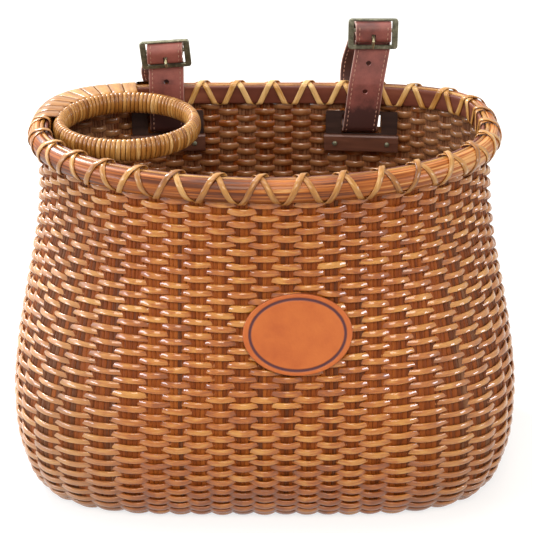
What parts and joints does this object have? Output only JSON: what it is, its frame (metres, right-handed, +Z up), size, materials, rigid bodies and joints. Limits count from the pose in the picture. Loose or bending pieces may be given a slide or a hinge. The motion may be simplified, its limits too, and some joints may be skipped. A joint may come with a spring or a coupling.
{
  "type": "bicycle basket",
  "caption": "Woven cane basket with a lashed hoop rim, a wrapped cup ring inside one corner and buckled leather straps that hang it on a handlebar.",
  "frame": {"origin": "on the flat underside of the base, below the widest line of the rim", "axes": "+X to the right seen from the front, +Y to the back with the straps, +Z up"},
  "size_m": [0.35, 0.2376, 0.2895],
  "materials": {
    "cane": "varnished woven cane, half gloss",
    "hoop_cane": "varnished half-round cane, glossy",
    "dark_cane": "stained flat cane",
    "pale_cane": "straw coloured split cane, half gloss",
    "strap_leather": "reddish brown smooth leather",
    "antique_brass": "antique brass plate",
    "dark_wood": "near-black stain",
    "bar_wood": "brown stain, half gloss",
    "badge_leather": "plain tan leather, no lettering"
  },
  "bodies": {
    "basket": {"woven_wall": "cane", "woven_base": "cane", "outer_rim_hoop": "hoop_cane", "inner_rim_hoop": "dark_cane", "rim_filler_reed": "pale_cane", "rim_lashing_forward": "pale_cane", "rim_lashing_reverse": "pale_cane", "cup_ring_core": "cane", "cup_ring_whipping": "pale_cane", "cup_ring_binding": "pale_cane", "left_strap": "strap_leather", "right_strap": "strap_leather", "left_slot_plate": "dark_wood", "right_slot_plate": "dark_wood", "left_strap_bar": "bar_wood", "right_strap_bar": "bar_wood", "left_bar_tack_left": "antique_brass", "left_bar_tack_right": "antique_brass", "right_bar_tack_left": "antique_brass", "right_bar_tack_right": "antique_brass", "badge_patch": "badge_leather"},
    "left_frame": {"left_buckle_frame": "antique_brass"},
    "left_prong": {"left_buckle_prong": "antique_brass"},
    "right_frame": {"right_buckle_frame": "antique_brass"},
    "right_prong": {"right_buckle_prong": "antique_brass"}
  },
  "joints": [
    {"name": "left_frame_rock", "type": "hinge", "parent": "basket", "child": "left_frame", "pos_m": [-0.0704, 0.06143, 0.2683], "axis": [-0.9976, 0, -0.0698], "range_deg": [0, 6]},
    {"name": "left_prong_lift", "type": "hinge", "parent": "left_frame", "child": "left_prong", "pos_m": [-0.0704, 0.06143, 0.2683], "axis": [-0.9976, 0, -0.0698], "range_deg": [0, 6]},
    {"name": "right_frame_rock", "type": "hinge", "parent": "basket", "child": "right_frame", "pos_m": [0.0766, 0.06895, 0.281], "axis": [-1, 0, 0], "range_deg": [0, 6]},
    {"name": "right_prong_lift", "type": "hinge", "parent": "right_frame", "child": "right_prong", "pos_m": [0.0766, 0.06895, 0.281], "axis": [-1, 0, 0], "range_deg": [0, 6]}
  ]
}
